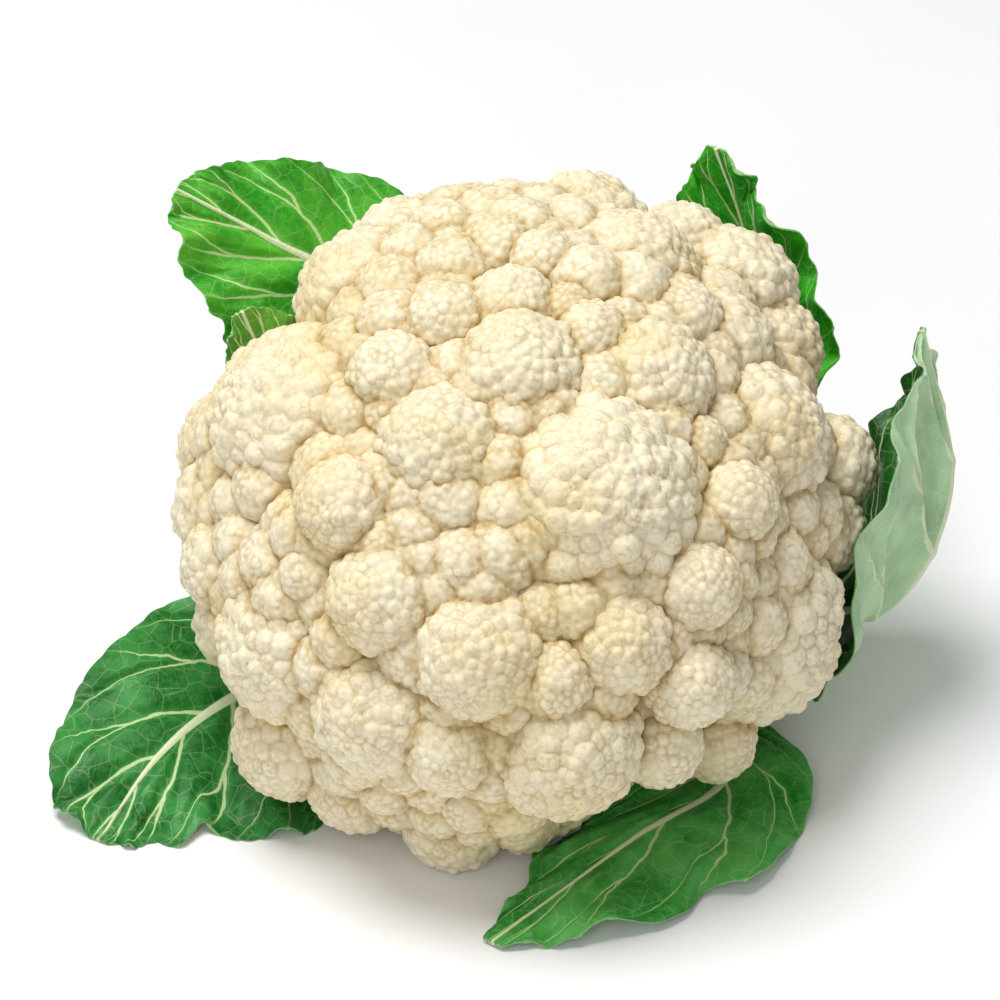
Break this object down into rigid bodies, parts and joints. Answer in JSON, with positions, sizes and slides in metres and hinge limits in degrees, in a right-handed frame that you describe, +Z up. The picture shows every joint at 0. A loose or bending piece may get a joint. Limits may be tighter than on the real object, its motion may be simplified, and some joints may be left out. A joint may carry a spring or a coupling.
{
  "type": "cauliflower",
  "caption": "Head of cauliflower lying on its cut stalk, leaning forward, with a domed cream curd of packed florets and wavy green leaves standing and lying around it.",
  "frame": {"origin": "middle of the stalk's level cut face, which rests on the table", "axes": "+Z up, +X to the right as the picture shows it, +Y away from the viewer; the head leans 24 degrees toward -Y"},
  "size_m": [0.2366, 0.2161, 0.1409],
  "materials": {
    "curd": "matte",
    "stalk": "matte",
    "leaf": "satin"
  },
  "bodies": {
    "root": {"curd": "curd", "stalk": "stalk", "leaf_upper_left": "leaf", "leaf_inner_left": "leaf", "leaf_upper_right": "leaf", "leaf_right": "leaf", "leaf_lower_right": "leaf", "leaf_lower_left": "leaf"}
  },
  "joints": []
}
